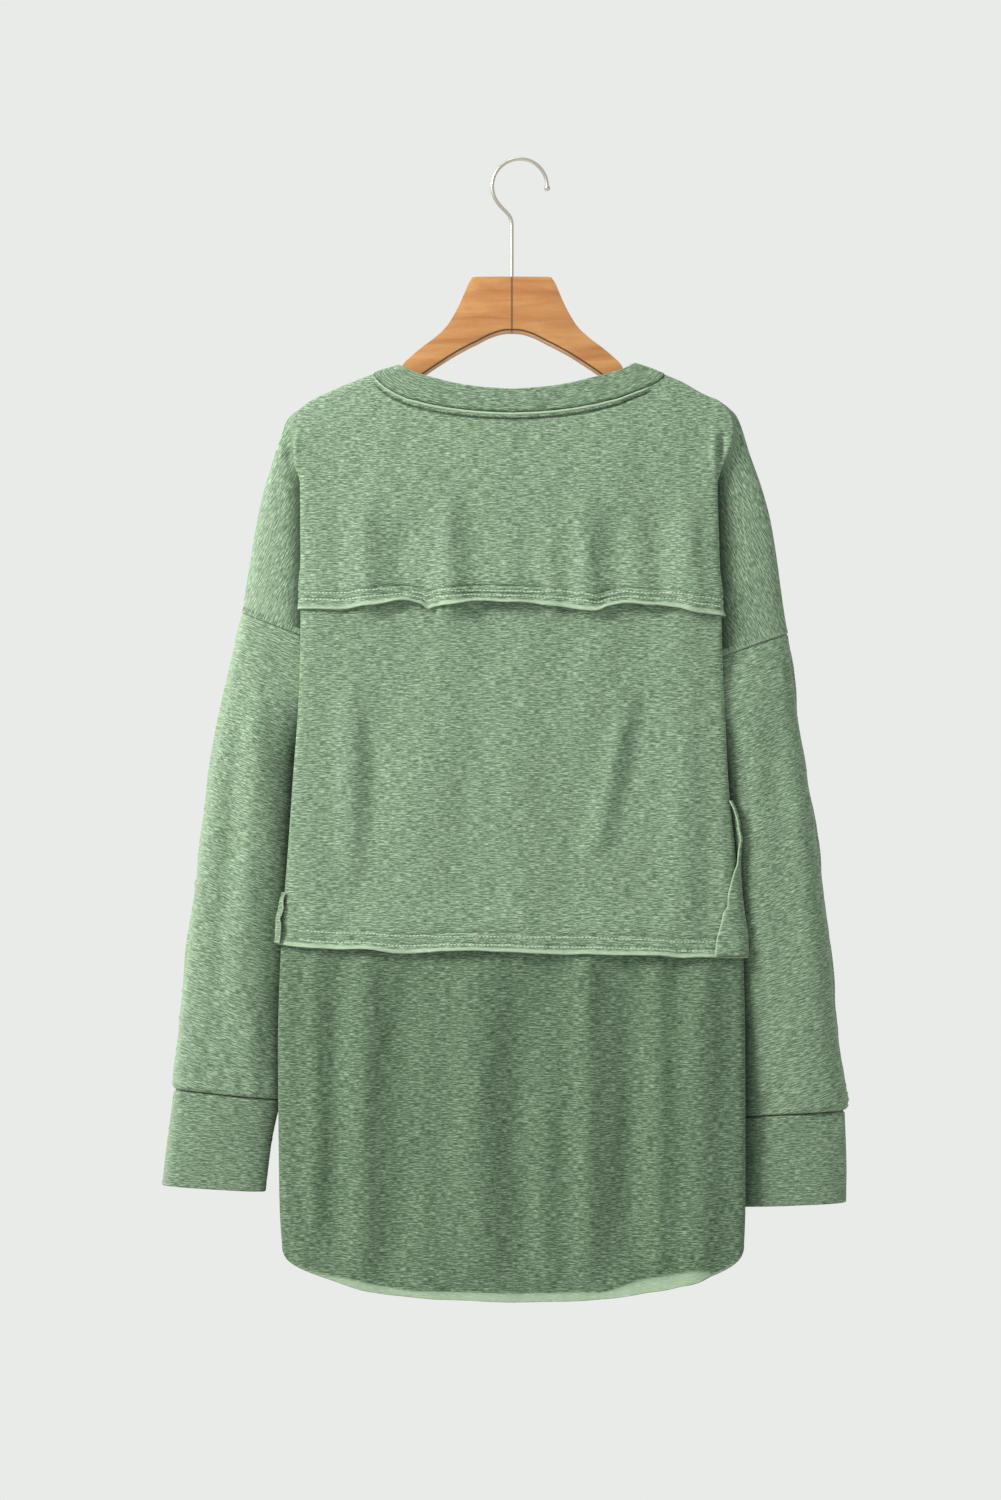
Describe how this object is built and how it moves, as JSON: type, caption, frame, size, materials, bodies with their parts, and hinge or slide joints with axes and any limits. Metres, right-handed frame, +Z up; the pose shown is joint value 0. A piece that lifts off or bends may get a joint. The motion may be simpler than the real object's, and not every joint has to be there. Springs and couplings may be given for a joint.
{
  "type": "long-sleeve top on a clothes hanger",
  "caption": "Loose long-sleeve knit top with drop shoulders, raw-edged back tiers and a curved hem, hung on a wooden clothes hanger with a wire hook.",
  "frame": {"origin": "underside of the top of the hook, where it bears on a rail", "axes": "+Z up; +X to the wearer's right; +Y to the wearer's front, so the tiered back faces -Y"},
  "size_m": [0.5647, 0.0636, 0.9405],
  "materials": {
    "heather_jersey": "heathered jersey knit",
    "heather_rib": "heathered knit, doubled",
    "lacquered_wood": "clear satin lacquer",
    "brushed_nickel": "brushed"
  },
  "bodies": {
    "root": {"back_yoke": "heather_jersey", "back_middle": "heather_jersey", "back_lower": "heather_jersey", "front_body": "heather_jersey", "front_lower": "heather_jersey", "sleeve_left": "heather_jersey", "sleeve_right": "heather_jersey", "side_seam_left": "heather_jersey", "side_seam_right": "heather_jersey", "neckband": "heather_rib", "cuff_left": "heather_rib", "cuff_right": "heather_rib", "hanger_wood": "lacquered_wood", "hanger_hook": "brushed_nickel"}
  },
  "joints": []
}
